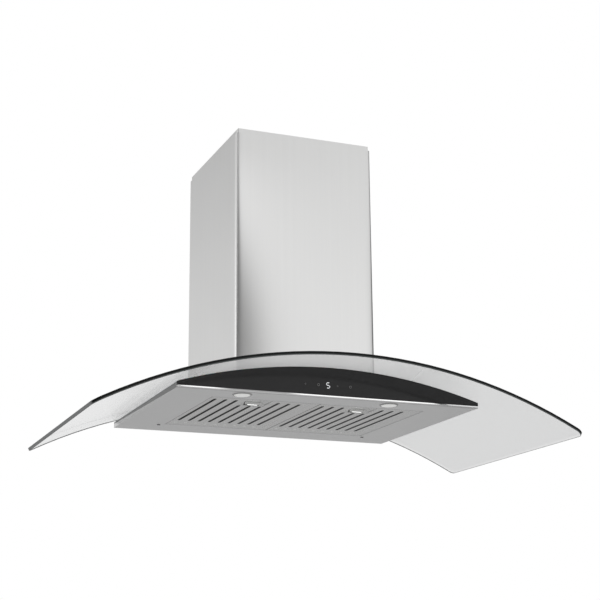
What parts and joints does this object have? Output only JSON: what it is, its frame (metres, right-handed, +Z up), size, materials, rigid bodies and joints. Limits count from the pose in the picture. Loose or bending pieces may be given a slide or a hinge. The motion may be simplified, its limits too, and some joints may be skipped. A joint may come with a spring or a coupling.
{
  "type": "range hood",
  "caption": "Wall-hung kitchen range hood with a curved glass canopy, shallow steel body, black touch fascia, baffle filters and a telescopic steel chimney.",
  "frame": {"origin": "midway between the two hanging holes, in the wall plane, 350 mm above the underside of the body", "axes": "+X to the right as seen from the front, +Y into the wall, +Z up"},
  "size_m": [0.8992, 0.501, 0.5859],
  "materials": {
    "brushed_steel": "brushed stainless steel sheet",
    "clear_glass": "clear tempered glass with ground edges",
    "black_glass": "black glass, painted on its back",
    "polished_steel": "polished stainless steel",
    "filter_steel": "satin stainless steel",
    "latch_steel": "polished steel",
    "lamp_lens": "frosted white lens",
    "lamp_rim": "satin chrome ring",
    "cast_aluminium": "die-cast",
    "galvanised_steel": "galvanised sheet steel",
    "zinc_fastener": "zinc plated",
    "clear_gasket": "translucent silicone",
    "black_rubber": "moulded rubber",
    "white_plastic": "moulded white plastic",
    "black_plastic": "moulded black plastic",
    "wheel_plastic": "moulded grey plastic",
    "motor_paint": "pressed steel motor casing",
    "circuit_board": "green board",
    "capacitor_case": "plastic can",
    "felt": "grey felt strip"
  },
  "bodies": {
    "hood": {"body_shell": "brushed_steel", "body_top_sheet": "galvanised_steel", "box_back_panel": "galvanised_steel", "box_base_frame": "galvanised_steel", "box_shell": "galvanised_steel", "box_top_plate": "galvanised_steel", "cable_gland": "black_rubber", "capacitor": "capacitor_case", "chimney_lower": "brushed_steel", "control_housing": "white_plastic", "cover_felts": "felt", "cover_locators": "white_plastic", "display_module": "black_plastic", "electronics_board": "circuit_board", "electronics_box": "black_plastic", "electronics_lid": "white_plastic", "fascia_glass": "black_glass", "flap_pin": "zinc_fastener", "front_arch_panel": "galvanised_steel", "front_trim": "polished_steel", "glass_bolt_sleeves": "white_plastic", "glass_canopy": "clear_glass", "glass_clamp_bolts": "zinc_fastener", "glass_clamp_nuts": "zinc_fastener", "glass_gaskets": "clear_gasket", "inlet_ring_left": "black_plastic", "inlet_ring_right": "black_plastic", "lamp_left_bezel": "lamp_rim", "lamp_left_can": "cast_aluminium", "lamp_left_lens": "lamp_lens", "lamp_right_bezel": "lamp_rim", "lamp_right_can": "cast_aluminium", "lamp_right_lens": "lamp_lens", "motor": "motor_paint", "motor_bracket": "galvanised_steel", "motor_grommets": "black_rubber", "outlet_collar": "black_plastic", "passage_seals": "clear_gasket", "plate_screws": "polished_steel", "rear_arch_panel": "galvanised_steel", "scroll_left": "black_plastic", "scroll_right": "black_plastic", "touch_board": "circuit_board"},
    "chimney_upper": {"chimney_upper": "brushed_steel", "wall_bracket": "galvanised_steel", "bracket_screws": "zinc_fastener"},
    "filter_left": {"filter_left_tray": "filter_steel", "filter_left_baffles": "filter_steel", "filter_left_rim": "filter_steel"},
    "filter_right": {"filter_right_tray": "filter_steel", "filter_right_baffles": "filter_steel", "filter_right_rim": "filter_steel"},
    "latch_left": {"filter_left_latch": "latch_steel", "filter_left_spring": "latch_steel"},
    "latch_right": {"filter_right_latch": "latch_steel", "filter_right_spring": "latch_steel"},
    "impeller": {"impeller": "wheel_plastic", "motor_shaft": "zinc_fastener"},
    "flap_front": {"flap_front": "black_plastic"},
    "flap_rear": {"flap_rear": "black_plastic"}
  },
  "joints": [
    {"name": "chimney_slide", "type": "slide", "parent": "hood", "child": "chimney_upper", "axis": [0, 0, 1], "range_m": [0, 0.38]},
    {"name": "filter_left_swing", "type": "hinge", "parent": "hood", "child": "filter_left", "pos_m": [-0.10162, -0.0725, -0.3495], "axis": [1, 0, 0], "range_deg": [0, 60]},
    {"name": "latch_left_slide", "type": "slide", "parent": "filter_left", "child": "latch_left", "axis": [0, 1, 0], "range_m": [0, 0.005], "stiffness_N_per_m": 300, "springref_m": -0.004, "deforming": ["filter_left_spring"]},
    {"name": "filter_right_swing", "type": "hinge", "parent": "hood", "child": "filter_right", "pos_m": [0.10162, -0.0725, -0.3495], "axis": [1, 0, 0], "range_deg": [0, 60]},
    {"name": "latch_right_slide", "type": "slide", "parent": "filter_right", "child": "latch_right", "axis": [0, 1, 0], "range_m": [0, 0.005], "stiffness_N_per_m": 300, "springref_m": -0.004, "deforming": ["filter_right_spring"]},
    {"name": "impeller_spin", "type": "hinge", "parent": "hood", "child": "impeller", "pos_m": [0, -0.11, -0.178], "axis": [1, 0, 0], "continuous": true},
    {"name": "flap_front_swing", "type": "hinge", "parent": "hood", "child": "flap_front", "pos_m": [0, -0.16, 0], "axis": [-1, 0, 0], "range_deg": [0, 75]},
    {"name": "flap_rear_swing", "type": "hinge", "parent": "hood", "child": "flap_rear", "pos_m": [0, -0.16, 0], "axis": [1, 0, 0], "range_deg": [0, 75]}
  ]
}
